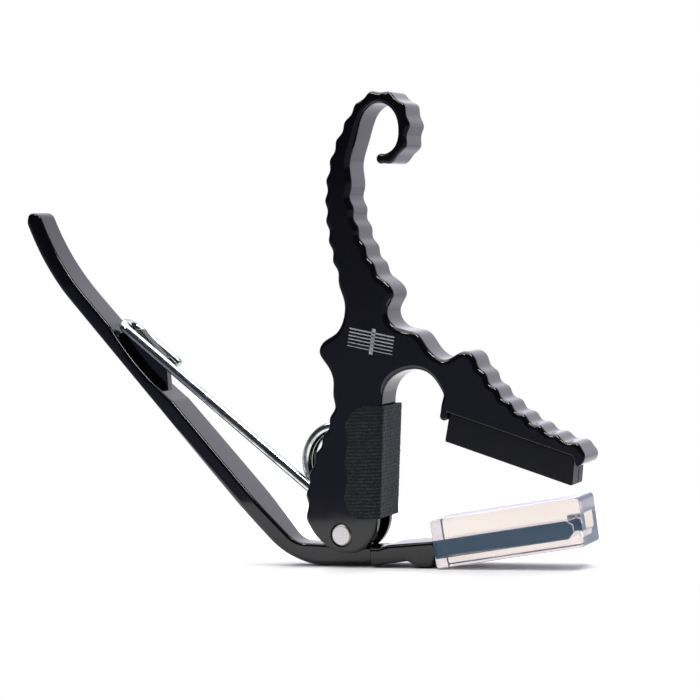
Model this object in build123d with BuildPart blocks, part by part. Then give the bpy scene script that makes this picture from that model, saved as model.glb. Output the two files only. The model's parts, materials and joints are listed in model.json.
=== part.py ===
"""Spring clamp guitar capo, standing on its lever.

X runs from the lever's tip (-X) to the jaws (+X), Y across the bar stock, Z up.
All side profiles are drawn on one plane through the hinge pin, with the pin at (0, 0).
"""
import os
from math import cos, radians, sin

from build123d import *

# Frame: where the hinge pin stands over the floor and beside the middle of the whole capo
PIVOT_X = 11.4
PIVOT_Z = 7.45

# Widths across the capo
BODY_WIDTH = 9.0
COIL_SLOT = 7.1
LUG_SLOT = 5.3
LUG_WIDTH = 4.9
TONGUE_WIDTH = 7.2
SLEEVE_WIDTH = 10.8
FRET_PAD_WIDTH = 6.6

# Hinge pin and the lug that turns on it
PIN_RADIUS = 2.70
PIN_LENGTH = 9.3
PIN_CHAMFER = 0.5
LUG_BORE_RADIUS = 2.76
LUG_RADIUS = 5.1

# Torsion spring: the coil, its long leg and the hook that straddles the lever's fin
WIRE = 2.3
COIL_X = -1.0
COIL_Z = 15.9
COIL_RADIUS = 8.6
COIL_TURNS = 2.0
COIL_PITCH = 2.34
COIL_CLEARANCE = 0.35
LEG_ANGLE = 140.6
LEG_LENGTH = 62.2
HOOK_RADIUS = 2.45
RETURN_LENGTH = 13.5
COIL_STEPS = 24
COIL_START = LEG_ANGLE + 90
COIL_END = COIL_START + 360 * COIL_TURNS

# Lever bar: its floor line, the bend it stands on, the bent-up handle and the waist between the cheeks
FLOOR = -PIVOT_Z
BEND_FOOT = (-14.1, FLOOR)
BEND_TOP = (-13.1, -1.95)
HANDLE_KNEE = (-72.3, 65.6)
OUTER_KNEE = (-76.5, 64.2)
KNEE_RADIUS = 60
TIP_ROUND = ((-81.1, 75.35), (-79.9, 78.4), (-76.8, 77.05))
WAIST_START = 26
WAIST_END = 7.0
WAIST_HEIGHT = 26

# The handle's height, and half its width at places along X from the pin
HANDLE_HEIGHT = 90
HANDLE_TAPER = ((-32, 4.5), (-52, 4.15), (-70, 3.85), (-84, 3.1))
# Fin on the handle that guides the spring: how far below the knee, its outline along and above the face,
# and the shallow dip in the face beside it
FIN_THICK = 2.3
FIN_PLACE = 23.1
FIN_OUTLINE = ((-0.45, -1.6), (-0.45, -0.3), (2.85, 4.4), (12.8, 4.4), (18.2, -0.3), (18.2, -1.6))
DIP = ((-3, 0), (9.5, -1.1), (22, 0))

# Edge pad on the throat side of the body
ADHESIVE = 0.15
FELT = 0.85
WALL_TOP = (12.0, 29.6)
WALL_FOOT = (9.2, 3.7)
WRAP_TOP = 28.9
WRAP_FOOT = 3.8
FLAP_CORNERS = ((7.6, 29.2), (4.4, 26.8), (1.9, 7.4), (3.4, 4.6))

# Seat of the fret pad under the jaw, and the mouth of the sleeve on the lever's arm
PAD_SEAT = ((28.1, 27.2), (56.6, 17.1))
PAD_FOOT = ((26.5, 20.7), (55.65, 10.5))
MOUTH_FOOT = (23.0, -5.3)
MOUTH_TOP = (22.6, -1.35)
TONGUE_TIP = ((54.4, -0.75), (55.6, 0.6), (55.4, 2.2), (54.0, 3.1))
TONGUE_FIT = 0.02

# Neck sleeve
SLEEVE_TOP = ((22.2, 3.4), (57.4, 8.3))
SLEEVE_FOOT = ((23.4, -7.4), (58.2, -2.4))
SLEEVE_TILT = 8
WINDOW_PLACE = (57.3, 2.9)
WINDOW_WIDTH = 5.0
WINDOW_HEIGHT = 3.6

# Waves on the handle and jaw edges, from crest to valley
WAVE_DEPTH = 0.62
JAW_WAVE_DEPTH = 0.7

side = Plane((PIVOT_X, 0, PIVOT_Z), x_dir=(1, 0, 0), z_dir=(0, -1, 0))
os.makedirs("parts", exist_ok=True)


def wave_points(base, waves, depth):
    """Crests and valleys of a wavy edge, laid either side of a smooth base curve."""
    points = []
    for step in range(1, int(2 * waves)):
        place = base @ (step / (2 * waves))
        along = base % (step / (2 * waves))
        shift = depth / 2 if step % 2 else -depth / 2
        points.append((place.X - along.Y * shift, place.Y + along.X * shift))
    return points


def back_edge_points():
    """Wavy back of the body, the thumb bump, the wavy handle and the outside of its hook."""
    back = Spline((0.2, 33.5), (-1.6, 25.0), (-5.6, 17.6), (-8.3, 8.6), (-8.2, 2.4), mode=Mode.PRIVATE)
    bump = [(0.1, 35.0), (-1.5, 39.0), (-2.95, 41.7), (-2.2, 43.5), (1.5, 45.7), (3.8, 49.2), (4.1, 53.2)]
    handle = Spline(
        (4.0, 55.2), (1.5, 67.0), (1.9, 80.0), (7.7, 93.0), (15.7, 98.9),
        (21.9, 95.4), (22.9, 89.6), (20.9, 84.7), (16.4, 82.9), mode=Mode.PRIVATE,
    )
    return wave_points(back, 7, -WAVE_DEPTH)[::-1] + bump + wave_points(handle, 16, WAVE_DEPTH) + [handle @ 1]


def front_edge_points():
    """Inside of the hook, the wavy front of the handle, the saddle and the wavy jaw."""
    hook = [(16.4, 84.9), (19.3, 86.3), (20.4, 90.5), (19.0, 94.6), (16.0, 96.2), (12.9, 95.0), (9.9, 89.0),
            (7.8, 82.6)]
    front = Spline((7.6, 80.2), (8.0, 72.2), (10.4, 64.0), (15.6, 55.0), mode=Mode.PRIVATE)
    saddle = [(16.6, 53.7), (14.8, 50.4), (16.4, 46.7), (21.6, 44.9), (24.2, 41.3), (28.5, 38.9), (32.9, 40.5),
              (35.3, 38.8), (35.95, 36.75)]
    jaw = Spline((36.2, 36.95), (42.5, 28.8), (49.15, 23.6), (56.75, 19.85), mode=Mode.PRIVATE)
    return hook + wave_points(front, 6, WAVE_DEPTH) + saddle + wave_points(jaw, 6.5, JAW_WAVE_DEPTH) + [(56.85, 20.1)]


def coil_point(angle):
    """Centre of the coil's wire at an angle, in the side plane's x, y and depth."""
    turned = (angle - COIL_START) / 360
    depth = COIL_PITCH * (COIL_TURNS / 2 - turned)
    return (COIL_X + COIL_RADIUS * cos(radians(angle)), COIL_Z + COIL_RADIUS * sin(radians(angle)), depth)


def handle_point(along, height):
    """Place on the handle's inner face: how far down from the knee, and how high above the face."""
    down = (Vector(BEND_TOP) - Vector(HANDLE_KNEE)).normalized()
    place = Vector(HANDLE_KNEE) + down * along + Vector(-down.Y, down.X) * height
    return (place.X, place.Y)


def wall_point(height, gap):
    """Place on the straight throat wall at a height, moved out of it by a gap."""
    lean = (WALL_TOP[0] - WALL_FOOT[0]) / (WALL_TOP[1] - WALL_FOOT[1])
    return (WALL_FOOT[0] + (height - WALL_FOOT[1]) * lean + gap, height)


# The body: upper handle, hook, throat and jaw in one piece, slotted below for the spring and lever
with BuildPart() as jaw_body:
    with BuildSketch(side):
        with BuildLine():
            back_edge = back_edge_points()[::-1]
            cheek = Spline((-8.15, 2.2), (-5.6, -1.3), (-0.2, -4.1), (5.4, -3.1), (8.3, 0.4), WALL_FOOT)
            Line(WALL_FOOT, WALL_TOP)
            Spline(WALL_TOP, (14.2, 34.7), (19.7, 36.9), (25.0, 34.8), (27.1, 31.2), (26.25, 27.0),
                   tangents=((0.1, 1), (-0.15, -1)))
            ThreePointArc((26.25, 27.0), (26.75, 25.35), (27.9, 25.8))
            Polyline((27.9, 25.8), PAD_SEAT[0], PAD_SEAT[1], (57.3, 14.9))
            Spline((57.3, 14.9), (58.7, 15.4), (59.35, 16.8), (58.6, 18.6), tangents=((1, 0), (-1, 1.3)))
            front_edge = Spline(*[(58.6, 18.6)] + front_edge_points()[::-1])
            ThreePointArc(front_edge @ 1, (14.6, 84.0), back_edge[0])
            Spline(*back_edge + [cheek @ 0])
        make_face()
    extrude(amount=BODY_WIDTH / 2, both=True)
    # Pocket for the coil, open at the back, with a thin cheek either side
    coil_room = COIL_RADIUS + WIRE / 2 + COIL_CLEARANCE
    with BuildSketch(side):
        with Locations((COIL_X, COIL_Z)):
            Circle(coil_room)
            Rectangle(20, 2 * coil_room, align=(Align.MAX, Align.CENTER))
    extrude(amount=COIL_SLOT / 2, both=True, mode=Mode.SUBTRACT)
    # Narrower slot for the lever's lug, open at the back, underneath and below the edge pad
    with BuildSketch(side):
        with Locations((-20, -8)):
            Rectangle(27.2, 17, align=(Align.MIN, Align.MIN))
        with Locations((0, -8)):
            Rectangle(20, 8 + WALL_FOOT[1], align=(Align.MIN, Align.MIN))
    extrude(amount=LUG_SLOT / 2, both=True, mode=Mode.SUBTRACT)
    with BuildSketch(side):
        Circle(PIN_RADIUS)
    extrude(amount=BODY_WIDTH, both=True, mode=Mode.SUBTRACT)
    # Hole in the far cheek that anchors the short end of the spring
    with BuildSketch(side):
        with Locations(coil_point(COIL_END)[:2]):
            Circle(WIRE / 2 + 0.1)
    extrude(amount=-BODY_WIDTH, mode=Mode.SUBTRACT)
jaw_body.part.label = "jaw_body"
export_step(jaw_body.part, "parts/jaw_body.step")

# The lever: one bar with a handle, a bend to stand on, a heel and a tongue for the sleeve
with BuildPart() as lever:
    with BuildSketch(side) as bar:
        with BuildLine():
            outer = Polyline(TIP_ROUND[0], OUTER_KNEE, BEND_FOOT, (4.0, FLOOR), (15.7, -6.0),
                             (18.3, FLOOR), (21.6, FLOOR), MOUTH_FOOT)
            dip = [handle_point(FIN_PLACE + along, height) for along, height in DIP]
            Polyline(MOUTH_FOOT, MOUTH_TOP, (11.6, -2.2), (9.0, -2.9), BEND_TOP, dip[2])
            ThreePointArc(dip[2], dip[1], dip[0])
            Polyline(dip[0], HANDLE_KNEE, TIP_ROUND[2])
            ThreePointArc(*TIP_ROUND[::-1])
        make_face()
        for corner, radius in ((BEND_FOOT, 18), (BEND_TOP, 6), (HANDLE_KNEE, KNEE_RADIUS), (OUTER_KNEE, KNEE_RADIUS)):
            fillet(bar.vertices().sort_by_distance((*corner, 0))[0], radius)
    extrude(amount=BODY_WIDTH / 2, both=True)
    # Waist between the cheeks, easing out into the handle's full width
    with BuildSketch(Plane.XY.offset(PIVOT_Z + FLOOR - 1)):
        with BuildLine():
            left = PIVOT_X - WAIST_START
            right = PIVOT_X + WAIST_END
            waist = Spline((left, BODY_WIDTH / 2), (PIVOT_X - 9.6, LUG_WIDTH / 2), tangents=((1, 0), (1, 0)))
            Polyline(waist @ 1, (right - 0.6, LUG_WIDTH / 2), (right, BODY_WIDTH / 2), (right, BODY_WIDTH),
                     (left, BODY_WIDTH), waist @ 0)
        make_face()
        mirror(about=Plane.XZ)
    extrude(amount=WAIST_HEIGHT, mode=Mode.SUBTRACT)
    # Sides of the handle, drawing in towards its tip
    with BuildSketch(Plane.XY.offset(PIVOT_Z)):
        with BuildLine():
            taper = Spline(*[(PIVOT_X + along, half_width) for along, half_width in HANDLE_TAPER])
            Polyline(taper @ 1, (PIVOT_X + HANDLE_TAPER[-1][0], BODY_WIDTH),
                     (PIVOT_X + HANDLE_TAPER[0][0], BODY_WIDTH), taper @ 0)
        make_face()
        mirror(about=Plane.XZ)
    extrude(amount=HANDLE_HEIGHT, mode=Mode.SUBTRACT)
    # Lug that turns on the pin
    with BuildSketch(side):
        Circle(LUG_RADIUS)
        with Locations((0, -3)):
            Rectangle(2 * LUG_RADIUS, 4)
    extrude(amount=LUG_WIDTH / 2, both=True)
    with BuildSketch(side):
        Circle(LUG_BORE_RADIUS)
    extrude(amount=BODY_WIDTH, both=True, mode=Mode.SUBTRACT)
    # Fin on the handle that the spring's hook straddles
    with BuildSketch(side):
        with BuildLine():
            Polyline(*[handle_point(FIN_PLACE + along, height) for along, height in FIN_OUTLINE], close=True)
        make_face()
    extrude(amount=FIN_THICK / 2, both=True)
    # Tongue that the sleeve is pushed over
    with BuildSketch(side):
        with BuildLine():
            Polyline(MOUTH_TOP, MOUTH_FOOT, *TONGUE_TIP, MOUTH_TOP)
        make_face()
    extrude(amount=TONGUE_WIDTH / 2, both=True)
lever.part.label = "lever"
export_step(lever.part, "parts/lever.step")

with BuildPart() as pivot_pin:
    with BuildSketch(side):
        Circle(PIN_RADIUS)
    extrude(amount=PIN_LENGTH / 2, both=True)
    chamfer(pivot_pin.edges(), PIN_CHAMFER)
pivot_pin.part.label = "pivot_pin"
export_step(pivot_pin.part, "parts/pivot_pin.step")

# The spring: cut end, return, hook round the fin, long leg, coil, and a short end into the far cheek
with BuildPart() as torsion_spring:
    with BuildLine() as wire:
        leg_x = cos(radians(LEG_ANGLE))
        leg_z = sin(radians(LEG_ANGLE))
        coil = [side.from_local_coords(Vector(*coil_point(COIL_START + 360 * COIL_TURNS * step / COIL_STEPS)))
                for step in range(COIL_STEPS + 1)]
        start_x, start_z, start_depth = coil_point(COIL_START)
        hook_x = start_x + leg_x * LEG_LENGTH
        hook_z = start_z + leg_z * LEG_LENGTH
        apex = (hook_x + leg_x * HOOK_RADIUS, hook_z + leg_z * HOOK_RADIUS, 0)
        ends = [(hook_x - leg_x * RETURN_LENGTH, hook_z - leg_z * RETURN_LENGTH, -HOOK_RADIUS),
                (hook_x, hook_z, -HOOK_RADIUS), apex, (hook_x, hook_z, HOOK_RADIUS)]
        cut_end, far, tip, near = [side.from_local_coords(Vector(*point)) for point in ends]
        Line(cut_end, far)
        ThreePointArc(far, tip, near)
        Line(near, coil[0])
        Spline(*coil)
    with BuildSketch(Plane(origin=cut_end, z_dir=far - cut_end)):
        Circle(WIRE / 2)
    sweep(transition=Transition.ROUND)
    with BuildSketch(side.offset(coil_point(COIL_END)[2])):
        with Locations(coil_point(COIL_END)[:2]):
            Circle(WIRE / 2)
    extrude(amount=0.1 - BODY_WIDTH / 2 - coil_point(COIL_END)[2])
torsion_spring.part.label = "torsion_spring"
export_step(torsion_spring.part, "parts/torsion_spring.step")

with BuildPart() as fret_pad:
    with BuildSketch(side):
        with BuildLine():
            Polyline(*PAD_SEAT, PAD_FOOT[1], PAD_FOOT[0], PAD_SEAT[0])
        make_face()
    extrude(amount=FRET_PAD_WIDTH / 2, both=True)
    fillet(fret_pad.edges().filter_by(Axis.Y, reverse=True).group_by(Axis.Z)[0], 0.4)
fret_pad.part.label = "fret_pad"
export_step(fret_pad.part, "parts/fret_pad.step")

# Silicone box pushed over the tongue, with a small window in its end wall
with BuildPart() as neck_sleeve:
    with BuildSketch(side):
        with BuildLine():
            Polyline(SLEEVE_TOP[0], SLEEVE_TOP[1], SLEEVE_FOOT[1], SLEEVE_FOOT[0], SLEEVE_TOP[0])
        make_face()
    extrude(amount=SLEEVE_WIDTH / 2, both=True)
    fillet(neck_sleeve.edges().filter_by(Axis.Y, reverse=True), 0.7)
    with BuildSketch(side):
        with BuildLine():
            Polyline(MOUTH_TOP, MOUTH_FOOT, *TONGUE_TIP, MOUTH_TOP)
        make_face()
        offset(amount=TONGUE_FIT)
        with Locations((MOUTH_TOP[0] - 3, (MOUTH_TOP[1] + MOUTH_FOOT[1]) / 2)):
            Rectangle(8, MOUTH_TOP[1] - MOUTH_FOOT[1])
    extrude(amount=TONGUE_WIDTH / 2 + TONGUE_FIT, both=True, mode=Mode.SUBTRACT)
    with BuildSketch(side):
        with Locations(WINDOW_PLACE):
            Rectangle(6, WINDOW_HEIGHT, rotation=SLEEVE_TILT)
    extrude(amount=WINDOW_WIDTH / 2, both=True, mode=Mode.SUBTRACT)
neck_sleeve.part.label = "neck_sleeve"
export_step(neck_sleeve.part, "parts/neck_sleeve.step")

# Edge pad: felt stuck round the throat edge of the body with a film of adhesive
for layer, inner, outer in (("edge_pad_adhesive", 0, ADHESIVE), ("edge_pad", ADHESIVE, ADHESIVE + FELT)):
    with BuildPart() as wrap:
        with BuildSketch(side):
            with BuildLine():
                Polyline(wall_point(WRAP_TOP, outer), *FLAP_CORNERS, wall_point(WRAP_FOOT, outer), close=True)
            make_face()
        extrude(amount=BODY_WIDTH / 2 + outer, both=True)
        with BuildSketch(side):
            with BuildLine():
                Polyline(wall_point(40, inner), (-20, 40), (-20, -10), wall_point(-10, inner), close=True)
            make_face()
        extrude(amount=BODY_WIDTH / 2 + inner, both=True, mode=Mode.SUBTRACT)
    wrap.part.label = layer
    export_step(wrap.part, f"parts/{layer}.step")
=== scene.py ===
import json
import math

import bmesh
import bpy
import numpy as np
from mathutils import Matrix, Vector, noise


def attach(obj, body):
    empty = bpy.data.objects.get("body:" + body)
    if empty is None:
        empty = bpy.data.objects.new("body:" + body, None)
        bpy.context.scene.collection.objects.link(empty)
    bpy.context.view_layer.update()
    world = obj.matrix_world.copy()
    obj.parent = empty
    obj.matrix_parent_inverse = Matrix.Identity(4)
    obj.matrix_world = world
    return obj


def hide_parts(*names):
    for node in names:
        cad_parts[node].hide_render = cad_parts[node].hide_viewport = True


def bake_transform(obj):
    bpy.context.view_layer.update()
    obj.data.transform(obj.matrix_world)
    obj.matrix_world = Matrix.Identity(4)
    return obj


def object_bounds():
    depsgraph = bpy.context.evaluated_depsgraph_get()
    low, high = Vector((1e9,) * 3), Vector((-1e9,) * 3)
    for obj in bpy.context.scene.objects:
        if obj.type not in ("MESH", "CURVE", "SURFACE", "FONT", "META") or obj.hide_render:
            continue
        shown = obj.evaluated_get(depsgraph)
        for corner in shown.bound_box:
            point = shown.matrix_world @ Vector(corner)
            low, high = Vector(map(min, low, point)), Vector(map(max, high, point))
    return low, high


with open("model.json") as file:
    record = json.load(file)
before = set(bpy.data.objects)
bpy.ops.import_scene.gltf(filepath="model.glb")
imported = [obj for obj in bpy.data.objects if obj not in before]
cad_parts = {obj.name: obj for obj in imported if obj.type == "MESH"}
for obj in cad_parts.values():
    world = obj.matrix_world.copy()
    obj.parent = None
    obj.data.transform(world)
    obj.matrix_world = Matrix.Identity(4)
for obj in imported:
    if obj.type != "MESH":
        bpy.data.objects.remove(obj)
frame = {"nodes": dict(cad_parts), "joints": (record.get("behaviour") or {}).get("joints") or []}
cad_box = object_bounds()

# Shapes are drawn in millimetres from the hinge pin: x to the jaws, y to the far side, z up
MM = 0.001
PIN = Vector(frame["joints"][0]["pos_m"])
COIL = (Vector(frame["joints"][1]["pos_m"]) - PIN) / MM
FLOOR = -PIN.z / MM

# Camera, in millimetres from the frame's origin
CAMERA_PLACE = (217.54, -405.14, 68.71)
CAMERA_TARGET = (14.45, 0, 49.12)
CAMERA_ROLL = math.radians(-3.765)
CAMERA_LENS = 102.86

# Widths and edge rounding
BODY_HALF = 4.5
BODY_ROUND = 1.25
CHEEK_ROUND = 0.8
LUG_HALF = 2.45
LUG_RADIUS = 5.1
TONGUE_HALF = 3.6
FIN_HALF = 1.15
FRET_PAD_HALF = 3.3
SLEEVE_HALF = 5.4
GROOVE_HALF = 0.22
WINDOW_HALF = 2.5
OUTER_ROUND = 1.5
INNER_ROUND = 0.8
OUTLINE_STEP = 0.27
TUBE_SIDES = 28

# Edges sharper than these angles stay hard, on the body and on the other pieces
BODY_SHARP = 65
SHARP = 35

# Hollows of the body and the lever
POCKET_HALF = 3.55
SLOT_HALF = 2.65
BODY_BORE = 2.72
LEVER_BORE = 2.76
THROUGH = 8

# Lever: the round tip, the knees, the bend, the fin's place below the knee, the waist's ends and half the
# handle's width at places along x
TIP_ROUND = ((-81.1, 75.35), (-79.9, 78.4), (-76.8, 77.05))
HANDLE_KNEE = (-72.3, 65.6)
OUTER_KNEE = (-76.5, 64.2)
KNEE_RADIUS = 60
BEND_TOP = (-13.1, -1.95)
FIN_PLACE = 23.1
WAIST_START = -26
WAIST_FULL = -9.6
WAIST_END = 7.0
WAIST_STEP = 0.8
HANDLE_TAPER = ((-32, 4.5), (-52, 4.15), (-70, 3.85), (-84, 3.1))

# The dip in the handle's inner face: how far below the fin's place, half its length and its depth
DIP_PLACE = 9.5
DIP_HALF = 12.5
DIP_DEPTH = 1.1

# Spring
WIRE_RADIUS = 1.15
COIL_RADIUS = 8.6
COIL_TURNS = 2.0
COIL_PITCH = 2.34
LEG_ANGLE = math.radians(140.6)
LEG_LENGTH = 62.2
HOOK_RADIUS = 2.45
RETURN_LENGTH = 13.5

# Edge pad: its rows of loops in metres, its thickness, the adhesive under it, its foot and height, and the
# throat wall's ends
ROW_SPACING = 0.00078
PAD_THICK = 0.85
PAD_GAP = 0.15
PAD_FOOT = 3.8
PAD_HEIGHT = 25.2
WALL_FOOT = (9.2, 3.7)
WALL_TOP = (12.0, 29.6)

# Body: the straight face the fret pad sits on, as its first point, run and drop, and the rounding beside it
SEAT_START = (28.1, 27.2)
SEAT_RUN = 28.5
SEAT_DROP = 10.1
SEAT_ROUND = 0.3

# Sleeve's window: its middle and its lean; printed mark: its middle and its tilt
WINDOW_PLACE = (57.3, 2.9)
SLEEVE_LEAN = math.radians(8)
MARK_PLACE = (10.6, 43.6)
MARK_TILT = math.radians(-13)


# ---------------------------------------------------------------- helpers

def metres(x, y, z):
    """A place in millimetres from the pin, as the frame's metres."""
    return PIN + Vector((x, y, z)) * MM


def new_object(name, verts, faces, material=None, smooth=40):
    """Mesh object from millimetre points, smooth but for edges sharper than an angle."""
    mesh = bpy.data.meshes.new(name)
    mesh.from_pydata([metres(*v) for v in verts], [], [tuple(f) for f in faces])
    mesh.validate()
    bm = bmesh.new()
    bm.from_mesh(mesh)
    bmesh.ops.recalc_face_normals(bm, faces=bm.faces)
    bm.to_mesh(mesh)
    bm.free()
    obj = bpy.data.objects.new(name, mesh)
    bpy.context.scene.collection.objects.link(obj)
    shade(obj, smooth)
    if material:
        mesh.materials.append(material)
    return obj


def shade(obj, smooth=40):
    """Smooth shading with edges sharper than an angle kept."""
    obj.data.polygons.foreach_set("use_smooth", [True] * len(obj.data.polygons))
    obj.data.set_sharp_from_angle(angle=math.radians(smooth))


def settle(obj, smooth):
    """Applies an object's modifiers to its mesh and shades it again."""
    bpy.context.view_layer.update()
    depsgraph = bpy.context.evaluated_depsgraph_get()
    mesh = bpy.data.meshes.new_from_object(obj.evaluated_get(depsgraph))
    obj.modifiers.clear()
    obj.data = mesh
    shade(obj, smooth)


def flat_faces(obj):
    """Keeps flat faces looking flat beside rounded edges."""
    modifier = obj.modifiers.new("weighted", "WEIGHTED_NORMAL")
    modifier.weight = 100
    modifier.keep_sharp = True


def combine(obj, other, operation, smooth):
    """Exact boolean of two closed meshes; the second one is used up."""
    modifier = obj.modifiers.new(operation, "BOOLEAN")
    modifier.operation = operation
    modifier.solver = "EXACT"
    modifier.object = other
    settle(obj, smooth)
    bpy.data.objects.remove(other)


def finished(obj, body, slot, *nodes):
    """Attaches a piece to its CAD body and hides the CAD nodes it stands for; the slot argument is not used.
    """
    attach(obj, body)
    if nodes:
        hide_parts(*nodes)


def loft(rings):
    """Points and faces of a closed skin over rings that all have the same number of points."""
    count = len(rings[0])
    verts = [point for ring in rings for point in ring]
    faces = []
    for row in range(len(rings) - 1):
        for i in range(count):
            j = (i + 1) % count
            faces.append((row * count + i, row * count + j, (row + 1) * count + j, (row + 1) * count + i))
    faces.append(tuple(range(count)))
    faces.append(tuple(range((len(rings) - 1) * count, len(rings) * count)))
    return verts, faces


def prism(name, outline, half_width):
    """Straight extrusion of an (x, z) outline, both ways from the middle plane."""
    rings = [[(x, y, z) for x, z in outline] for y in (-half_width, half_width)]
    return new_object(name, *loft(rings))


def circle(x, z, radius, count=72):
    """Round outline."""
    angles = [2 * math.pi * k / count for k in range(count)]
    return [(x + radius * math.cos(a), z + radius * math.sin(a)) for a in angles]


def fillet_line(points, radii):
    """An open line of (x, z) points with rounded corners."""
    line = [np.array(points[0], float)]
    for k in range(1, len(points) - 1):
        corner = np.array(points[k], float)
        before = np.array(points[k - 1], float) - corner
        after = np.array(points[k + 1], float) - corner
        radius = radii[k]
        if radius <= 0:
            line.append(corner)
            continue
        before /= np.linalg.norm(before)
        after /= np.linalg.norm(after)
        half = math.acos(max(-1, min(1, before @ after))) / 2
        reach = radius / math.tan(half)
        middle = before + after
        centre = corner + middle / np.linalg.norm(middle) * radius / math.sin(half)
        first = corner + before * reach - centre
        last = corner + after * reach - centre
        start = math.atan2(first[1], first[0])
        sweep = (math.atan2(last[1], last[0]) - start + math.pi) % (2 * math.pi) - math.pi
        for i in range(13):
            angle = start + sweep * i / 12
            line.append(centre + radius * np.array((math.cos(angle), math.sin(angle))))
    line.append(np.array(points[-1], float))
    return np.array(line)


def at_share(line, share):
    """Place on a line of points at a share of its length."""
    steps = np.linalg.norm(np.diff(line, axis=0), axis=1)
    along = np.concatenate(([0], np.cumsum(steps)))
    target = share * along[-1]
    return np.array([np.interp(target, along, line[:, axis]) for axis in range(line.shape[1])])


def share_of(line, place):
    """Share of a line's length at its nearest point to a place."""
    steps = np.diff(line, axis=0)
    length = np.maximum(np.linalg.norm(steps, axis=1), 1e-9)
    before = np.cumsum(length) - length
    part = np.clip(np.sum((np.array(place) - line[:-1]) * steps, axis=1) / length ** 2, 0, 1)
    gap = np.linalg.norm(line[:-1] + steps * part[:, None] - np.array(place), axis=1)
    nearest = np.argmin(gap)
    return (before[nearest] + part[nearest] * length[nearest]) / np.sum(length)


def tube(name, points, radius, material, bulge=0.35):
    """Round wire along millimetre points, with softly domed ends."""
    points = [Vector(p) for p in points]
    tangents = []
    for k, point in enumerate(points):
        before = points[max(k - 1, 0)]
        after = points[min(k + 1, len(points) - 1)]
        tangents.append((after - before).normalized())
    across = tangents[0].orthogonal().normalized()
    rings = []
    for point, tangent in zip(points, tangents):
        across = (across - tangent * across.dot(tangent)).normalized()
        other = tangent.cross(across)
        rings.append([point + (across * math.cos(a) + other * math.sin(a)) * radius
                      for a in [2 * math.pi * i / TUBE_SIDES for i in range(TUBE_SIDES)]])
    caps = []
    for place, tangent, ring in ((points[0], -tangents[0], rings[0]), (points[-1], tangents[-1], rings[-1])):
        caps.append([place + (q - place) * 0.82 + tangent * radius * bulge for q in ring])
    rings = [caps[0]] + rings + [caps[1]]
    return new_object(name, *loft([[tuple(q) for q in ring] for ring in rings]), material, 50)


# ---------------------------------------------------------------- materials

class Nodes:
    """Small builder for a node material."""

    def __init__(self, name):
        self.material = bpy.data.materials.new(name)
        self.material.use_nodes = True
        self.tree = self.material.node_tree
        self.shader = self.tree.nodes["Principled BSDF"]
        self.place = self.tree.nodes.new("ShaderNodeTexCoord").outputs["Object"]

    def add(self, kind, **inputs):
        node = self.tree.nodes.new("ShaderNode" + kind)
        for key, value in inputs.items():
            node.inputs[key.replace("_", " ")].default_value = value
        return node

    def link(self, output, target):
        self.tree.links.new(output, target)

    def set(self, **values):
        for key, value in values.items():
            self.shader.inputs[key.replace("_", " ")].default_value = value

    def noise(self, scale, detail=3.0, stretch=None, roughness=0.55):
        node = self.add("TexNoise", Scale=scale, Detail=detail, Roughness=roughness)
        if stretch:
            mapping = self.add("Mapping")
            mapping.inputs["Rotation"].default_value = stretch[1]
            mapping.inputs["Scale"].default_value = stretch[0]
            self.link(self.place, mapping.inputs["Vector"])
            self.link(mapping.outputs["Vector"], node.inputs["Vector"])
        else:
            self.link(self.place, node.inputs["Vector"])
        return node.outputs["Fac"]

    def ramp(self, source, *stops):
        """Colour ramp from (position, colour) stops; a single number is a grey."""
        node = self.tree.nodes.new("ShaderNodeValToRGB")
        elements = node.color_ramp.elements
        while len(elements) < len(stops):
            elements.new(0.5)
        for element, (position, colour) in zip(elements, stops):
            element.position = position
            if not hasattr(colour, "__len__"):
                colour = (colour, colour, colour)
            element.color = (*colour, 1)
        self.link(source, node.inputs["Fac"])
        return node.outputs["Color"]

    def spread(self, source, low, high, start=0.0, end=1.0):
        """A number stretched from one range to another."""
        node = self.tree.nodes.new("ShaderNodeMapRange")
        node.inputs["From Min"].default_value = start
        node.inputs["From Max"].default_value = end
        node.inputs["To Min"].default_value = low
        node.inputs["To Max"].default_value = high
        self.link(source, node.inputs["Value"])
        return node.outputs["Result"]

    def maths(self, operation, first, second):
        node = self.tree.nodes.new("ShaderNodeMath")
        node.operation = operation
        for socket, value in zip(node.inputs, (first, second)):
            if isinstance(value, (int, float)):
                socket.default_value = value
            else:
                self.link(value, socket)
        return node.outputs["Value"]

    def bump(self, height, distance, strength=1.0):
        node = self.add("Bump", Strength=strength, Distance=distance)
        self.link(height, node.inputs["Height"])
        self.link(node.outputs["Normal"], self.shader.inputs["Normal"])


def coat_material():
    """Glossy black enamel with a few soft smudges, and painted light: blue on the tongue under the sleeve."""
    m = Nodes("gloss_black_enamel")
    m.set(Specular_IOR_Level=0.5, IOR=1.5)
    cloud = m.noise(70, 4)
    black = m.ramp(cloud, (0.3, (0.0026, 0.0026, 0.0040)), (0.75, (0.0044, 0.0042, 0.0062)))
    # painted light: the tongue's enamel under the sleeve is painted blue, standing in for the bluish light
    # the milky silicone scatters back over it
    split = m.add("SeparateXYZ")
    m.link(m.place, split.inputs["Vector"])
    painted_blue_under_sleeve = m.maths("MULTIPLY", m.maths("GREATER_THAN", split.outputs["X"], PIN.x + 23.2 * MM),
                      m.maths("LESS_THAN", split.outputs["Z"], PIN.z + 8 * MM))
    tinted = m.add("MixRGB")
    tinted.inputs[2].default_value = (0.004, 0.050, 0.125, 1)
    m.link(painted_blue_under_sleeve, tinted.inputs[0])
    m.link(black, tinted.inputs[1])
    m.link(tinted.outputs[0], m.shader.inputs["Base Color"])
    gloss = m.spread(m.noise(160, 4), 0.07, 0.13, 0.3, 0.75)
    m.link(m.maths("MAXIMUM", gloss, m.maths("MULTIPLY", painted_blue_under_sleeve, 0.85)), m.shader.inputs["Roughness"])
    return m.material


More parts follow.
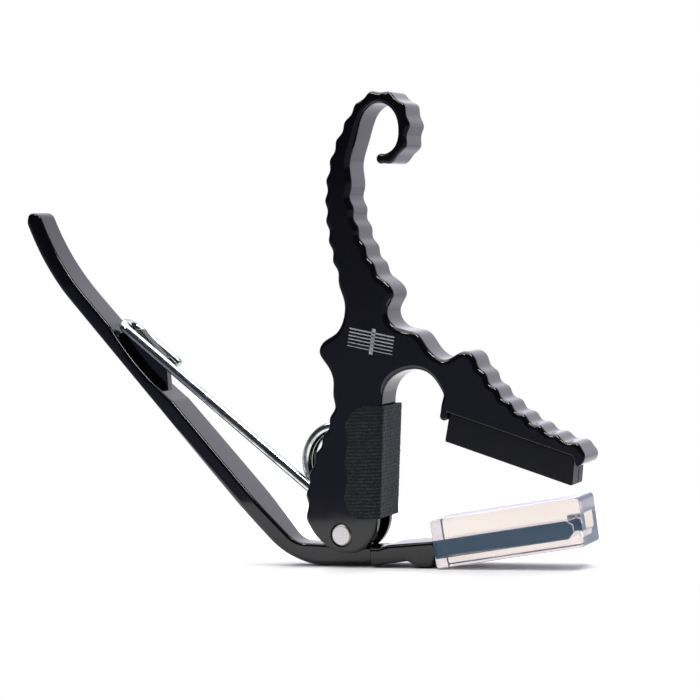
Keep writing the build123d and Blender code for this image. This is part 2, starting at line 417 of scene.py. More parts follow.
def steel_material():
    """Satin steel with turning marks on the pin's end and painted shade on its chamfer ring."""
    m = Nodes("satin_steel")
    m.set(Metallic=1.0)
    wave = m.tree.nodes.new("ShaderNodeTexWave")
    wave.wave_type = "RINGS"
    wave.rings_direction = "Y"
    wave.inputs["Scale"].default_value = 900
    wave.inputs["Distortion"].default_value = 2.5
    mapping = m.add("Mapping")
    mapping.inputs["Location"].default_value = -PIN
    m.link(m.place, mapping.inputs["Vector"])
    m.link(mapping.outputs["Vector"], wave.inputs["Vector"])
    grain = m.noise(1500, 3)
    bright = m.ramp(grain, (0.3, (0.66, 0.65, 0.64)), (0.7, (0.78, 0.77, 0.76)))
    # painted shade: the chamfer ring round the end is painted darker and warmer, standing in for the light
    # its slope catches less of
    split = m.add("SeparateXYZ")
    m.link(mapping.outputs["Vector"], split.inputs["Vector"])
    reach = m.maths("SQRT", m.maths("ADD", m.maths("POWER", split.outputs["X"], 2),
                                    m.maths("POWER", split.outputs["Z"], 2)), 0)
    ring = m.ramp(m.spread(reach, 0, 1, 0, 0.005), (0.40, (1, 1, 1)), (0.44, (0.42, 0.38, 0.35)))
    tinted = m.add("MixRGB")
    tinted.blend_type = "MULTIPLY"
    tinted.inputs[0].default_value = 1.0
    m.link(bright, tinted.inputs[1])
    m.link(ring, tinted.inputs[2])
    m.link(tinted.outputs[0], m.shader.inputs["Base Color"])
    m.link(m.spread(grain, 0.25, 0.42, 0.3, 0.7), m.shader.inputs["Roughness"])
    m.bump(wave.outputs["Fac"], 0.000010, 0.4)
    return m.material


def zinc_material():
    """Bright zinc plated wire with drawing streaks and greenish dull spots."""
    m = Nodes("zinc_plated_wire")
    m.set(Metallic=1.0)
    streak = m.noise(1200, 3, ((0.06, 1, 1), (0, LEG_ANGLE, 0)))
    patch = m.noise(420, 4)
    colour = m.ramp(patch, (0.32, (0.30, 0.34, 0.31)), (0.46, (0.58, 0.62, 0.59)), (0.75, (0.68, 0.70, 0.68)))
    m.shader.inputs["Specular Tint"].default_value = (0.36, 0.40, 0.39, 1)
    m.link(colour, m.shader.inputs["Base Color"])
    m.link(m.spread(streak, 0.10, 0.22, 0.3, 0.75), m.shader.inputs["Roughness"])
    return m.material


def rubber_material():
    """Dense dark rubber with a fine moulded skin."""
    m = Nodes("dense_black_rubber")
    m.set(IOR=1.5, Specular_IOR_Level=0.3)
    cloud = m.noise(160, 5)
    colour = m.ramp(cloud, (0.3, (0.0038, 0.0042, 0.0070)), (0.75, (0.0065, 0.0068, 0.0105)))
    m.link(colour, m.shader.inputs["Base Color"])
    m.link(m.spread(m.noise(700, 4), 0.38, 0.55, 0.3, 0.75), m.shader.inputs["Roughness"])
    m.bump(m.noise(2200, 4), 0.00004, 0.45)
    return m.material


def silicone_material():
    """Milky clear silicone: warm where light comes through, cool where it scatters back."""
    m = Nodes("milky_silicone")
    m.set(IOR=1.41, Transmission_Weight=1.0, Specular_IOR_Level=0.5)
    cloud = m.noise(120, 3)
    colour = m.ramp(cloud, (0.3, (0.77, 0.67, 0.585)), (0.75, (0.81, 0.71, 0.625)))
    m.link(colour, m.shader.inputs["Base Color"])
    m.link(m.spread(m.noise(300, 4), 0.07, 0.13, 0.3, 0.75), m.shader.inputs["Roughness"])
    m.bump(m.noise(900, 3), 0.00002, 0.4)
    haze = m.tree.nodes.new("ShaderNodeBsdfDiffuse")
    haze.inputs["Color"].default_value = (0.05, 0.30, 0.62, 1)
    mixed = m.tree.nodes.new("ShaderNodeMixShader")
    mixed.inputs["Fac"].default_value = 0.12
    output = m.tree.nodes["Material Output"]
    m.link(m.shader.outputs["BSDF"], mixed.inputs[1])
    m.link(haze.outputs["BSDF"], mixed.inputs[2])
    m.link(mixed.outputs["Shader"], output.inputs["Surface"])
    return m.material


def fabric_material():
    """Charcoal loop fabric: close rows of small loops; its colour follows their height, with painted shade in
    the gaps between rows and painted light on the loop tops, over a random fibre tone.
    """
    m = Nodes("charcoal_loop_fabric")
    m.set(IOR=1.45, Specular_IOR_Level=0.25, Sheen_Weight=0.3, Sheen_Roughness=0.45)
    m.shader.inputs["Sheen Tint"].default_value = (0.75, 0.78, 0.85, 1)
    split = m.tree.nodes.new("ShaderNodeSeparateXYZ")
    m.link(m.place, split.inputs["Vector"])
    wobble = m.spread(m.noise(600, 3), -3.0, 3.0)
    height = m.maths("MULTIPLY", split.outputs["Z"], 2 * math.pi / ROW_SPACING)
    rows = m.maths("SINE", m.maths("ADD", height, wobble), 0)
    loops = m.spread(m.noise(1500, 2), -1, 1, 0.3, 0.7)
    weave = m.maths("ADD", m.maths("MULTIPLY", rows, 0.55), m.maths("MULTIPLY", loops, 0.55))
    level = m.spread(weave, 0, 1, -1.1, 1.1)
    fibre = m.noise(4200, 4)
    mixed = m.maths("ADD", m.maths("MULTIPLY", level, 0.6), m.maths("MULTIPLY", fibre, 0.4))
    # painted shade and light: darker in the gaps between rows and lighter on the loop tops, following the
    # bump's height, mixed with a random fibre tone
    colour = m.ramp(mixed, (0.25, (0.004, 0.0045, 0.005)), (0.55, (0.014, 0.0155, 0.017)),
                    (0.85, (0.048, 0.052, 0.058)))
    m.link(colour, m.shader.inputs["Base Color"])
    m.link(m.spread(fibre, 0.75, 0.95), m.shader.inputs["Roughness"])
    m.bump(mixed, 0.00022, 0.8)
    return m.material


def adhesive_material():
    """Thin greyish film of adhesive."""
    m = Nodes("adhesive_film")
    m.set(IOR=1.47)
    colour = m.ramp(m.noise(500, 3), (0.3, (0.05, 0.05, 0.048)), (0.8, (0.10, 0.095, 0.09)))
    m.link(colour, m.shader.inputs["Base Color"])
    m.link(m.spread(m.noise(800, 3), 0.3, 0.5), m.shader.inputs["Roughness"])
    return m.material


def print_material():
    """Screen printed pale ink, a little uneven."""
    m = Nodes("pale_print")
    m.set(IOR=1.45, Specular_IOR_Level=0.3)
    colour = m.ramp(m.noise(1800, 4), (0.3, (0.42, 0.43, 0.46)), (0.7, (0.66, 0.67, 0.70)))
    m.link(colour, m.shader.inputs["Base Color"])
    m.link(m.spread(m.noise(900, 3), 0.45, 0.65), m.shader.inputs["Roughness"])
    return m.material


def floor_material():
    """Plain pale studio floor."""
    m = Nodes("pale_floor")
    m.set(Roughness=0.85, Specular_IOR_Level=0.1)
    m.link(m.ramp(m.noise(3, 2), (0.3, 0.90), (0.7, 0.92)), m.shader.inputs["Base Color"])
    return m.material


BLACK = coat_material()
STEEL = steel_material()
ZINC = zinc_material()
RUBBER = rubber_material()
SILICONE = silicone_material()
FABRIC = fabric_material()
ADHESIVE = adhesive_material()
INK = print_material()


# ---------------------------------------------------------------- camera, light and floor

def make_camera():
    data = bpy.data.cameras.new("camera")
    data.lens = CAMERA_LENS
    data.sensor_width = 36
    data.clip_start = 0.01
    data.clip_end = 20
    camera = bpy.data.objects.new("camera", data)
    bpy.context.scene.collection.objects.link(camera)
    place = Vector(CAMERA_PLACE) * MM
    aim = (Vector(CAMERA_TARGET) * MM - place).to_track_quat("-Z", "Y").to_matrix().to_4x4()
    camera.matrix_world = Matrix.Translation(place) @ aim @ Matrix.Rotation(CAMERA_ROLL, 4, "Z")
    bpy.context.scene.camera = camera


def area_light(name, place, target, size, power, colour=(1, 1, 1)):
    data = bpy.data.lights.new(name, "AREA")
    data.shape = "RECTANGLE"
    data.size = size[0]
    data.size_y = size[1]
    data.energy = power
    data.color = colour
    light = bpy.data.objects.new(name, data)
    bpy.context.scene.collection.objects.link(light)
    light.location = place
    light.rotation_euler = (Vector(target) - Vector(place)).to_track_quat("-Z", "Y").to_euler()
    light.visible_camera = False


def make_studio():
    world = bpy.data.worlds.new("studio")
    bpy.context.scene.world = world
    world.use_nodes = True
    tree = world.node_tree
    background = tree.nodes["Background"]
    # the room's own light: dark above, a dim bluish floor beyond the disc below
    way = tree.nodes.new("ShaderNodeTexCoord")
    split = tree.nodes.new("ShaderNodeSeparateXYZ")
    level = tree.nodes.new("ShaderNodeValToRGB")
    level.color_ramp.elements[0].position = 0.47
    level.color_ramp.elements[0].color = (0.22, 0.23, 0.31, 1)
    level.color_ramp.elements[1].position = 0.53
    level.color_ramp.elements[1].color = (0.035, 0.036, 0.045, 1)
    half = tree.nodes.new("ShaderNodeMath")
    half.operation = "MULTIPLY_ADD"
    half.inputs[1].default_value = 0.5
    half.inputs[2].default_value = 0.5
    tree.links.new(way.outputs["Generated"], split.inputs["Vector"])
    tree.links.new(split.outputs["Z"], half.inputs[0])
    tree.links.new(half.outputs["Value"], level.inputs["Fac"])
    # a pale wall behind the capo, seen in its side walls from below the backdrop's foot upwards
    behind = tree.nodes.new("ShaderNodeMapRange")
    behind.inputs["From Min"].default_value = 0.45
    behind.inputs["From Max"].default_value = 0.70
    wall = tree.nodes.new("ShaderNodeMixRGB")
    wall.inputs[2].default_value = (1.30, 1.26, 1.42, 1)
    tree.links.new(split.outputs["Y"], behind.inputs["Value"])
    tree.links.new(behind.outputs["Result"], wall.inputs[0])
    tree.links.new(level.outputs["Color"], wall.inputs[1])
    tree.links.new(wall.outputs[0], background.inputs["Color"])
    seen = tree.nodes.new("ShaderNodeBackground")
    seen.inputs["Color"].default_value = (1, 1, 1, 1)
    seen.inputs["Strength"].default_value = 1.0
    choice = tree.nodes.new("ShaderNodeLightPath")
    mixed = tree.nodes.new("ShaderNodeMixShader")
    tree.links.new(choice.outputs["Is Camera Ray"], mixed.inputs["Fac"])
    tree.links.new(background.outputs["Background"], mixed.inputs[1])
    tree.links.new(seen.outputs["Background"], mixed.inputs[2])
    tree.links.new(mixed.outputs["Shader"], tree.nodes["World Output"].inputs["Surface"])
    middle = (0.01, 0, 0.05)
    area_light("backdrop", (0.25, 0.75, 0.45), middle, (1.5, 1.1), 1.6, (0.95, 0.935, 1.0))
    area_light("rim_right", (0.34, -0.08, 0.76), (0.05, 0, 0.03), (0.13, 0.13), 1.1)
    area_light("rim_far_right", (0.47, -0.09, 0.76), (-0.04, 0, 0.04), (0.13, 0.13), 1.0)
    area_light("front_top", (-0.25, -0.55, 0.75), middle, (0.16, 0.12), 1.3)
    data = bpy.data.lights.new("ceiling", "SUN")
    data.energy = 3.5
    data.angle = math.radians(70)
    ceiling = bpy.data.objects.new("ceiling", data)
    bpy.context.scene.collection.objects.link(ceiling)
    ceiling.rotation_euler = (math.radians(-10), math.radians(-12), 0)
    bpy.context.scene.view_settings.view_transform = "Standard"
    bm = bmesh.new()
    bmesh.ops.create_circle(bm, cap_ends=True, segments=96, radius=0.105)
    plane = bpy.data.meshes.new("floor")
    bm.to_mesh(plane)
    bm.free()
    floor = bpy.data.objects.new("floor", plane)
    bpy.context.scene.collection.objects.link(floor)
    plane.materials.append(floor_material())
    floor.location = (0, 0.02, cad_box[0][2])


# ---------------------------------------------------------------- the body

def side_outline(node):
    """Outline of a CAD node's near side face, in order, as (x, z) in millimetres from the pin."""
    bm = bmesh.new()
    bm.from_mesh(frame["nodes"][node].data)
    bmesh.ops.remove_doubles(bm, verts=bm.verts, dist=1e-6)
    near = min(v.co.y for v in bm.verts)
    side = {f for f in bm.faces if all(abs(v.co.y - near) < 1e-6 for v in f.verts)}
    following = {}
    for edge in bm.edges:
        if sum(f in side for f in edge.link_faces) == 1:
            first, second = edge.verts
            following.setdefault(first, []).append(second)
            following.setdefault(second, []).append(first)
    loops = []
    while following:
        start = next(iter(following))
        loop = [start]
        ahead = following.pop(start)[0]
        while ahead in following:
            loop.append(ahead)
            options = following.pop(ahead)
            ahead = options[0] if options[0] in following else options[1]
        loops.append(loop)
    longest = max(loops, key=len)
    points = np.array([((v.co.x - PIN.x) / MM, (v.co.z - PIN.z) / MM) for v in longest])
    bm.free()
    area = np.sum(points[:, 0] * np.roll(points[:, 1], -1) - np.roll(points[:, 0], -1) * points[:, 1])
    return points if area > 0 else points[::-1]


def resample(loop, step, corner=62):
    """A closed outline with even steps, its sharp corners kept."""
    ahead = np.roll(loop, -1, axis=0) - loop
    behind = loop - np.roll(loop, 1, axis=0)
    turn = np.abs((np.arctan2(ahead[:, 1], ahead[:, 0]) - np.arctan2(behind[:, 1], behind[:, 0])
                   + np.pi) % (2 * np.pi) - np.pi)
    corners = [k for k in range(len(loop)) if turn[k] > math.radians(corner)]
    loop = np.roll(loop, -corners[0], axis=0)
    corners = [k - corners[0] for k in corners] + [len(loop)]
    closed = np.vstack((loop, loop[:1]))
    points = []
    for first, last in zip(corners[:-1], corners[1:]):
        part = closed[first:last + 1]
        length = np.sum(np.linalg.norm(np.diff(part, axis=0), axis=1))
        count = max(1, round(length / step))
        line = np.array([at_share(part, k / count) for k in range(count + 1)])
        for _ in range(3):
            line[1:-1] = (line[:-2] + 2 * line[1:-1] + line[2:]) / 4
        points.extend(line[:-1])
    return np.array(points)


def inset(loop, distance):
    """A counterclockwise outline moved inwards, mitred at its corners."""
    ahead = np.roll(loop, -1, axis=0) - loop
    behind = loop - np.roll(loop, 1, axis=0)
    ahead /= np.linalg.norm(ahead, axis=1)[:, None]
    behind /= np.linalg.norm(behind, axis=1)[:, None]
    inward = np.stack((-ahead[:, 1] - behind[:, 1], ahead[:, 0] + behind[:, 0]), axis=1)
    length = np.linalg.norm(inward, axis=1)
    inward /= length[:, None]
    stretch = 1 / np.maximum(length / 2, 0.62)
    return loop + inward * (distance * stretch)[:, None]


def room_inside(loop):
    """Radius of the largest circle inside a counterclockwise outline that touches it at each point."""
    ahead = np.roll(loop, -1, axis=0) - np.roll(loop, 1, axis=0)
    ahead /= np.linalg.norm(ahead, axis=1)[:, None]
    inward = np.stack((-ahead[:, 1], ahead[:, 0]), axis=1)
    apart = loop[None, :, :] - loop[:, None, :]
    depth = np.einsum("ijk,ik->ij", apart, inward)
    radius = np.sum(apart ** 2, axis=2) / (2 * np.maximum(depth, 1e-6))
    return np.min(np.where(depth > 0.02, radius, 1e3), axis=1)


def eased(values, reach):
    """Values round a closed line, lowered near each low place and then smoothed."""
    lowest = np.min([np.roll(values, k) for k in range(-reach, reach + 1)], axis=0)
    return np.mean([np.roll(lowest, k) for k in range(-reach, reach + 1)], axis=0)


def rounded_plate(name, loop, half, rounding, steps=6):
    """Flat plate with that outline and rounded rims; the rounding is a radius for each point."""
    rings = []
    for k in range(steps + 1):
        angle = math.pi / 2 * (1 - k / steps)
        line = inset(loop, rounding * (1 - math.cos(angle)))
        rings.append([(x, -(half - r + r * math.sin(angle)), z) for (x, z), r in zip(line, rounding)])
    mirrored = [[(x, -y, z) for x, y, z in ring] for ring in reversed(rings)]
    return new_object(name, *loft(rings + mirrored), BLACK, BODY_SHARP)


def make_body():
    loop = resample(side_outline("jaw_body"), OUTLINE_STEP)
    rounding = np.minimum(BODY_ROUND, 0.75 * room_inside(loop))
    in_cheek = (loop[:, 1] < 27) & (loop[:, 0] < 12)
    rounding = np.where(in_cheek, np.minimum(rounding, CHEEK_ROUND), rounding)
    seat = (loop[:, 0] - SEAT_START[0]) * SEAT_DROP + (loop[:, 1] - SEAT_START[1]) * SEAT_RUN
    at_seat = (np.abs(seat) / 30.2 < 0.3) & (loop[:, 0] > 27.5)
    rounding = eased(np.where(at_seat, SEAT_ROUND, rounding), 4)
    body = rounded_plate("capo_body", loop, BODY_HALF, rounding)
    room = COIL_RADIUS + WIRE_RADIUS + 0.35
    pocket = [(COIL.x + room * math.cos(a), COIL.z + room * math.sin(a))
              for a in [math.pi * (k / 60 - 0.5) for k in range(61)]]
    pocket += [(COIL.x - 20, COIL.z + room), (COIL.x - 20, COIL.z - room)]
    slot = [(-20, -8), (20, -8), (20, 3.7), (7.2, 3.7), (7.2, 9), (-20, 9)]
    combine(body, prism("pocket", pocket, POCKET_HALF), "DIFFERENCE", BODY_SHARP)
    combine(body, prism("slot", slot, SLOT_HALF), "DIFFERENCE", BODY_SHARP)
    combine(body, prism("bore", circle(0, 0, BODY_BORE), THROUGH), "DIFFERENCE", BODY_SHARP)
    flat_faces(body)
    finished(body, "body", "black_coat", "jaw_body")


# ---------------------------------------------------------------- the lever

def rounded_section(outer, inner, half, corner_steps=6):
    """Ring round the bar between an outer and an inner point of its profile."""
    outer = Vector((outer[0], 0, outer[1]))
    inner = Vector((inner[0], 0, inner[1]))
    middle = (outer + inner) / 2
    thick = (inner - outer).length / 2
    up = (inner - outer).normalized()
    across = Vector((0, 1, 0))
    ring = []
    for sign_y, sign_up in ((1, -1), (1, 1), (-1, 1), (-1, -1)):
        radius = min(OUTER_ROUND if sign_up < 0 else INNER_ROUND, thick * 0.98, half * 0.98)
        centre = middle + across * sign_y * (half - radius) + up * sign_up * (thick - radius)
        for k in range(corner_steps + 1):
            angle = math.pi / 2 * k / corner_steps
            if sign_y * sign_up > 0:
                angle = math.pi / 2 - angle
            way = across * sign_y * math.sin(angle) + up * sign_up * math.cos(angle)
            ring.append(tuple(centre + way * radius))
    return ring


def lever_profile():
    """Outer and inner lines of the bar from the middle of its tip, and the matched places along both."""
    left, _, right = (np.array(p) for p in TIP_ROUND)
    centre = (left + right) / 2
    across = (right - left) / 2
    ahead = np.array((-across[1], across[0]))
    arc = [centre + across * math.sin(a) + ahead * math.cos(a)
           for a in [math.pi / 2 * k / 12 for k in range(12)]]
    outer = fillet_line([tuple(left), OUTER_KNEE, (-14.1, FLOOR), (4.0, FLOOR), (15.7, -6.0), (18.3, FLOOR),
                         (21.6, FLOOR), (23.0, -5.3)], [0, KNEE_RADIUS, 18, 3, 0.8, 0.8, 0.8, 0])
    dip = [handle_point(FIN_PLACE + DIP_PLACE + DIP_HALF * t, -DIP_DEPTH * (1 - t * t))
           for t in [k / 10 for k in range(-10, 11)]]
    arm = [BEND_TOP, (9.0, -2.9), (11.6, -2.2), (22.6, -1.35)]
    inner = fillet_line([tuple(right), HANDLE_KNEE] + dip + arm,
                        [0, KNEE_RADIUS] + [0] * len(dip) + [6, 3, 3, 0])
    outer = np.vstack(([2 * centre - p + 2 * ahead * np.dot(p - centre, ahead) / np.dot(ahead, ahead)
                        for p in arc], outer))
    inner = np.vstack((arc, inner))
    pairs = [(left, right), (OUTER_KNEE, HANDLE_KNEE), ((-30, 11.0), (-25.9, 12.8)),
             ((-14.1, FLOOR + 2), (-12.6, -1.0)), ((-8, FLOOR), (-8, -2.1)), ((4.0, FLOOR), (4.0, -2.7)),
             ((15.7, -6.0), (15.7, -1.9)), ((18.3, FLOOR), (18.3, -1.7)), ((21.6, FLOOR), (21.2, -1.45))]
    return outer, inner, [(0, 0)] + [(share_of(outer, a), share_of(inner, b)) for a, b in pairs] + [(1, 1)]


def lever_half(x):
    """Half the lever's width: narrow at the tip and between the cheeks, full above and beyond them."""
    half = np.interp(x, *zip(*reversed(HANDLE_TAPER)))
    if x > WAIST_START:
        ease = min(1, (x - WAIST_START) / (WAIST_FULL - WAIST_START))
        half += (LUG_HALF - half) * ease * ease * (3 - 2 * ease)
    if x > WAIST_END - WAIST_STEP:
        ease = min(1, (x - WAIST_END + WAIST_STEP) / WAIST_STEP)
        half += (BODY_HALF - half) * ease * ease * (3 - 2 * ease)
    return half


def make_lever():
    outer, inner, shares = lever_profile()
    first = [a for a, b in shares]
    second = [b for a, b in shares]
    rings = []
    for share in [0.0003, 0.001, 0.0022, 0.004, 0.0065, 0.009] + [k / 400 for k in range(5, 401)]:
        a = at_share(outer, share)
        b = at_share(inner, np.interp(share, first, second))
        thick = np.linalg.norm(b - a) / 2
        half = lever_half((a[0] + b[0]) / 2)
        if thick < OUTER_ROUND:
            half -= OUTER_ROUND * (1 - math.sqrt(1 - (1 - thick / OUTER_ROUND) ** 2))
        rings.append(rounded_section(a, b, half))
    lever = new_object("capo_lever", *loft(rings), BLACK, 40)
    lug = [(LUG_RADIUS, -5), (LUG_RADIUS, 0)]
    lug += [(x, z) for x, z in circle(0, 0, LUG_RADIUS) if z > 0.05]
    lug += [(-LUG_RADIUS, 0), (-LUG_RADIUS, -5)]
    combine(lever, prism("lug", lug, LUG_HALF - 0.05), "UNION", SHARP)
    combine(lever, prism("bore", circle(0, 0, LEVER_BORE), THROUGH), "DIFFERENCE", SHARP)
    combine(lever, make_fin(), "UNION", SHARP)
    tongue = fillet_line([(20.6, -1.6), (54.0, 3.1), (55.4, 2.2), (55.6, 0.6), (54.4, -0.75), (20.6, -5.2)],
                         [0, 1.0, 0.8, 0.8, 1.0, 0])
    combine(lever, rounded_prism("tongue", tongue, TONGUE_HALF - 0.03, 0.5, BLACK), "UNION", SHARP)
    flat_faces(lever)
    finished(lever, "lever", "black_coat", "lever")


def rounded_prism(name, outline, half, radius, material):
    """Extrusion of an (x, z) outline with rounded rims."""
    loop = np.array(outline)
    area = np.sum(loop[:, 0] * np.roll(loop[:, 1], -1) - np.roll(loop[:, 0], -1) * loop[:, 1])
    if area < 0:
        loop = loop[::-1]
    rings = []
    for k in range(5):
        angle = math.pi / 2 * (1 - k / 4)
        line = inset(loop, np.full(len(loop), radius * (1 - math.cos(angle))))
        rings.append([(x, -(half - radius + radius * math.sin(angle)), z) for x, z in line])
    mirrored = [[(x, -y, z) for x, y, z in ring] for ring in reversed(rings)]
    return new_object(name, *loft(rings + mirrored), material, SHARP)


def handle_point(along, height):
    """Place on the handle's inner face: how far down from the knee, and how high above the face."""
    knee = np.array(HANDLE_KNEE)
    down = np.array(BEND_TOP) - knee
    down /= np.linalg.norm(down)
    return tuple(knee + down * along + np.array((-down[1], down[0])) * height)


def make_fin():
    """Ramp on the handle that keeps the spring's hook in place."""
    corners = [(-1.3, -1.5), (2.85, 4.4), (12.8, 4.4), (19.6, -1.5)]
    places = [handle_point(FIN_PLACE + along, height) for along, height in corners]
    return rounded_prism("fin", fillet_line(places, [0, 1.0, 1.6, 0]), FIN_HALF, 0.35, BLACK)


# ---------------------------------------------------------------- the spring

def coil_point(turned):
    """Centre of the coil's wire after a number of turns, in millimetres from the pin."""
    angle = LEG_ANGLE + math.pi / 2 + 2 * math.pi * turned
    depth = -COIL_PITCH * (COIL_TURNS / 2 - turned)
    return (COIL.x + COIL_RADIUS * math.cos(angle), depth, COIL.z + COIL_RADIUS * math.sin(angle))


def make_spring():
    start = Vector(coil_point(0))
    along = Vector((math.cos(LEG_ANGLE), 0, math.sin(LEG_ANGLE)))
    base = start + along * LEG_LENGTH
    base.y = 0
    near = base + Vector((0, -HOOK_RADIUS, 0))
    far = base + Vector((0, HOOK_RADIUS, 0))
    points = [start.lerp(near, k / 60) for k in range(61)]
    points += [base + Vector((0, -math.cos(a), 0)) * HOOK_RADIUS + along * math.sin(a) * HOOK_RADIUS
               for a in [math.pi * k / 20 for k in range(1, 20)]]
    points += [far - along * (RETURN_LENGTH * k / 14) for k in range(15)]
    leg = tube("spring_leg", points, WIRE_RADIUS, ZINC)
    finished(leg, "spring", "spring_wire", "torsion_spring")
    steps = 220
    coil = [Vector(coil_point(COIL_TURNS * k / steps)) for k in range(steps + 1)]
    end = coil[-1]
    prong = [end + Vector((0, 0.15 * k, 0)) for k in range(1, 9)]
    first = start + (start - Vector(coil_point(0.002))) * 0.01
    coil_piece = tube("spring_coil", [first] + coil[1:] + prong, WIRE_RADIUS, ZINC, 0.1)
    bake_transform(coil_piece)


# ---------------------------------------------------------------- pin, pads and sleeve

def make_pin():
    pin = frame["nodes"]["pivot_pin"]
    pin.data.materials.clear()
    pin.data.materials.append(STEEL)


def make_fret_pad():
    """Rubber bar under the jaw, with the groove down its end."""
    corners = [(42.35, 22.15), (28.1, 27.2), (26.5, 20.7), (55.65, 10.5), (56.6, 17.1), (42.35, 22.15)]
    outline = fillet_line(corners, [0, 0.25, 0.45, 0.45, 0.25, 0])[:-1]
    pad = rounded_prism("fret_rubber", outline, FRET_PAD_HALF, 0.35, RUBBER)
    groove = prism("groove", [(55.0, 8), (60, 8), (60, 20), (55.75, 20)], GROOVE_HALF)
    for v in groove.data.vertices:
        v.co.y += 0.3 * MM
    combine(pad, groove, "DIFFERENCE", SHARP)
    flat_faces(pad)
    finished(pad, "body", "black_rubber", "fret_pad")


def make_sleeve():
    """Silicone box with its cavity and the window in its end."""
    corners = [(39.8, 5.85), (22.2, 3.4), (23.4, -7.4), (58.2, -2.4), (57.4, 8.3), (39.8, 5.85)]
    outline = fillet_line(corners, [0, 0.9, 0.8, 0.8, 0.9, 0])[:-1]
    sleeve = rounded_prism("neck_silicone", outline, SLEEVE_HALF, 0.7, SILICONE)
    hollow = [(19.0, -1.5), (22.6, -1.3), (54.0, 3.15), (55.45, 2.25), (55.65, 0.6), (54.45, -0.8),
              (23.0, -5.35), (19.0, -5.4)]
    combine(sleeve, prism("hollow", hollow, TONGUE_HALF + 0.02), "DIFFERENCE", SHARP)
    cos, sin = math.cos(SLEEVE_LEAN), math.sin(SLEEVE_LEAN)
    window = [(WINDOW_PLACE[0] + x * cos - z * sin, WINDOW_PLACE[1] + x * sin + z * cos)
              for x, z in ((-3, -1.8), (3, -1.8), (3, 1.8), (-3, 1.8))]
    combine(sleeve, prism("window", window, WINDOW_HALF), "DIFFERENCE", SHARP)
    flat_faces(sleeve)
    finished(sleeve, "lever", "clear_silicone", "neck_sleeve")


def wall_point(height, gap):
    """Throat wall at a height, moved out of the body by a gap."""
    lean = (WALL_TOP[0] - WALL_FOOT[0]) / (WALL_TOP[1] - WALL_FOOT[1])
    return WALL_FOOT[0] + (height - WALL_FOOT[1]) * lean + gap


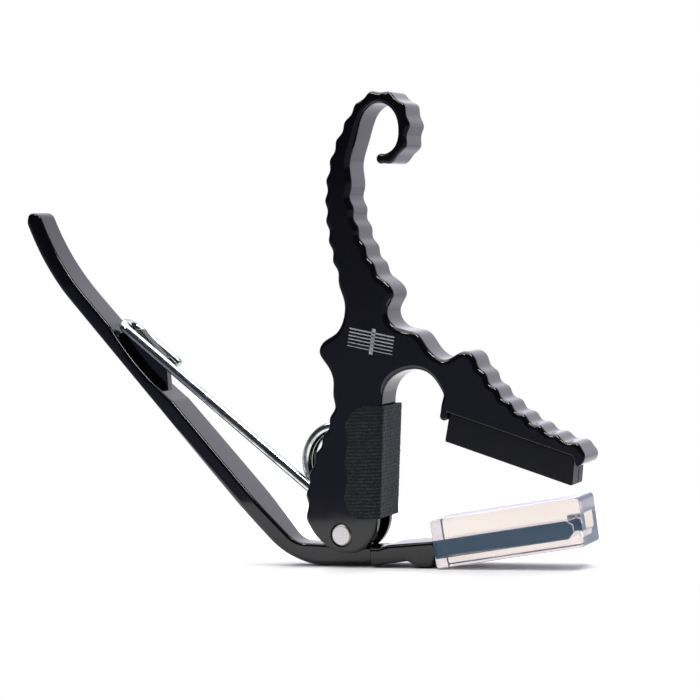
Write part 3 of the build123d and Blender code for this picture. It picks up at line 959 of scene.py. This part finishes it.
def make_edge_pad():
    """Loop fabric stuck round the throat edge: two flaps with worn, wavy edges and the face between."""
    corner = 1.0
    length = 25.3
    rows = 110
    flap_columns = 36
    wall_columns = 44
    side = BODY_HALF + PAD_GAP + PAD_THICK

    def flap_edge(t, mirror):
        """How far left the flap reaches at a share of its height, rounded at its ends."""
        reach = 1.9 + (4.0 - 1.9) * t
        rounding = 4.2
        height = t * length
        for end, size in ((height, rounding), (length - height, rounding * 1.1)):
            if end < size:
                reach += size * 0.72 * (1 - math.sqrt(max(0, 1 - (1 - end / size) ** 2)))
        wave = 0.30 * math.sin(height * 0.78 + 0.6 + mirror) + 0.12 * math.sin(height * 2.3 + mirror * 2)
        return reach + wave

    def cross_row(t, offset):
        """Points across one row at a share of the height, out from the adhesive by an offset."""
        out = PAD_GAP + offset
        y_side = BODY_HALF + out
        points = []
        for flap in (-1, 1):
            height = PAD_FOOT + t * PAD_HEIGHT
            edge = flap_edge(t, 0 if flap < 0 else 1.7)
            right = wall_point(height, out) - corner
            part = []
            for k in range(flap_columns + 1):
                x = edge + (right - edge) * k / flap_columns
                part.append((x, flap * y_side, height))
            for k in range(1, 7):
                angle = math.pi / 2 * k / 6
                across = y_side - corner + corner * math.cos(angle)
                part.append((right + corner * math.sin(angle), flap * across, height))
            points.append(part)
        near, far = points
        start = near[-1]
        end = far[-1]
        middle = [(start[0], start[1] + (end[1] - start[1]) * k / wall_columns, start[2])
                  for k in range(1, wall_columns)]
        return near + middle + far[::-1]

    verts = []
    faces = []
    for layer, offset in enumerate((PAD_THICK, 0.05)):
        for row in range(rows + 1):
            line = cross_row(row / rows, offset)
            width = len(line)
            for index, (x, y, z) in enumerate(line):
                if layer == 0:
                    bumpy = 0.07 * noise.noise(Vector((x * 1.9, y * 1.9, z * 1.9)))
                    phase = 0.8 * noise.noise(Vector((x, y, z * 0.7)))
                    bumpy += 0.05 * math.sin(z * 2 * math.pi * MM / ROW_SPACING + phase)
                    if abs(y) > side - 0.3:
                        y += math.copysign(bumpy, y)
                    else:
                        x += bumpy
                if row in (0, rows):
                    z += 0.12 * noise.noise(Vector((x * 0.9, y * 0.9, layer * 3.0)))
                verts.append((x, y, z))
    count = (rows + 1) * width
    for row in range(rows):
        for i in range(width - 1):
            a = row * width + i
            faces.append((a, a + 1, a + width + 1, a + width))
            faces.append((count + a, count + a + width, count + a + width + 1, count + a + 1))
    for i in range(width - 1):
        faces.append((i, count + i, count + i + 1, i + 1))
        top = rows * width + i
        faces.append((top, top + 1, count + top + 1, count + top))
    for row in range(rows):
        a = row * width
        faces.append((a, a + width, count + a + width, count + a))
        b = a + width - 1
        faces.append((b, count + b, count + b + width, b + width))
    pad = new_object("edge_fabric", verts, faces, FABRIC, 50)
    finished(pad, "body", "grey_felt", "edge_pad")
    film = frame["nodes"]["edge_pad_adhesive"]
    film.data.materials.clear()
    film.data.materials.append(ADHESIVE)


def make_mark():
    """Printed mark on the near side: six strings crossed by a bar, no lettering."""
    cos, sin = math.cos(MARK_TILT), math.sin(MARK_TILT)
    verts = []
    faces = []

    def stroke(x0, z0, x1, z1, width):
        along = Vector((x1 - x0, 0, z1 - z0)).normalized()
        side = Vector((-along.z, 0, along.x)) * width / 2
        first = Vector((x0, 0, z0))
        last = Vector((x1, 0, z1))
        corners = [first - side, last - side, last + side, first + side]
        base = len(verts)
        for level in (-BODY_HALF - 0.035, -BODY_HALF + 0.02):
            for c in corners:
                x = c.x * cos - c.z * sin + MARK_PLACE[0]
                z = c.x * sin + c.z * cos + MARK_PLACE[1]
                verts.append((x, level, z))
        faces.extend([(base, base + 1, base + 2, base + 3), (base + 7, base + 6, base + 5, base + 4)])
        for k in range(4):
            m = (k + 1) % 4
            faces.append((base + k, base + 4 + k, base + 4 + m, base + m))

    for k in range(6):
        height = (k - 2.5) * 0.78
        stroke(-5.6, height, 5.6, height, 0.16 + 0.03 * k)
    stroke(0.4, -2.9, 0.4, 2.9, 0.9)
    mark = new_object("printed_mark", verts, faces, INK, 30)
    finished(mark, "body", "black_coat")


make_camera()
make_studio()
make_body()
make_lever()
make_spring()
make_pin()
make_fret_pad()
make_sleeve()
make_edge_pad()
make_mark()
